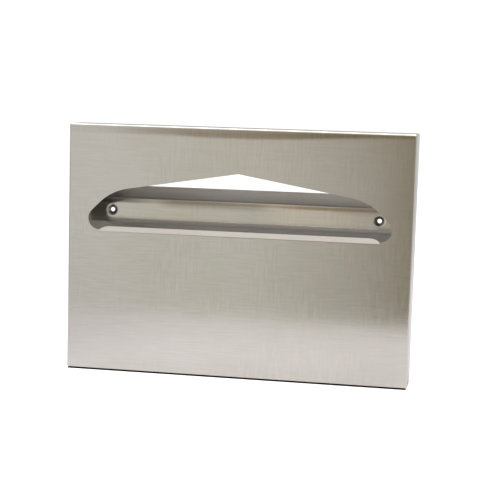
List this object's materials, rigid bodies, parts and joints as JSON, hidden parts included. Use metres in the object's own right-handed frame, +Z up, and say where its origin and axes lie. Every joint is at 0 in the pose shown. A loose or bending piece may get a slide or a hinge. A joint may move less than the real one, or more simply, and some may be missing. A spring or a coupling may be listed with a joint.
{
  "type": "toilet seat cover dispenser",
  "caption": "Surface-mounted box of satin stainless sheet with a peaked, lipped dispensing slot and a mounting bar behind it, for folded paper toilet seat covers.",
  "frame": {"origin": "centre of the bottom face of the overall box, midway between the wall plane and the front panel", "axes": "X along the wall (viewer's right is +X), the front panel faces -Y and the wall side +Y, Z up"},
  "size_m": [0.4064, 0.0508, 0.2921],
  "materials": {
    "cover_steel": "satin, grain along the width",
    "bar_steel": "satin, grain along the width"
  },
  "bodies": {
    "root": {"front_cover": "cover_steel", "mounting_bar": "bar_steel"}
  },
  "joints": []
}
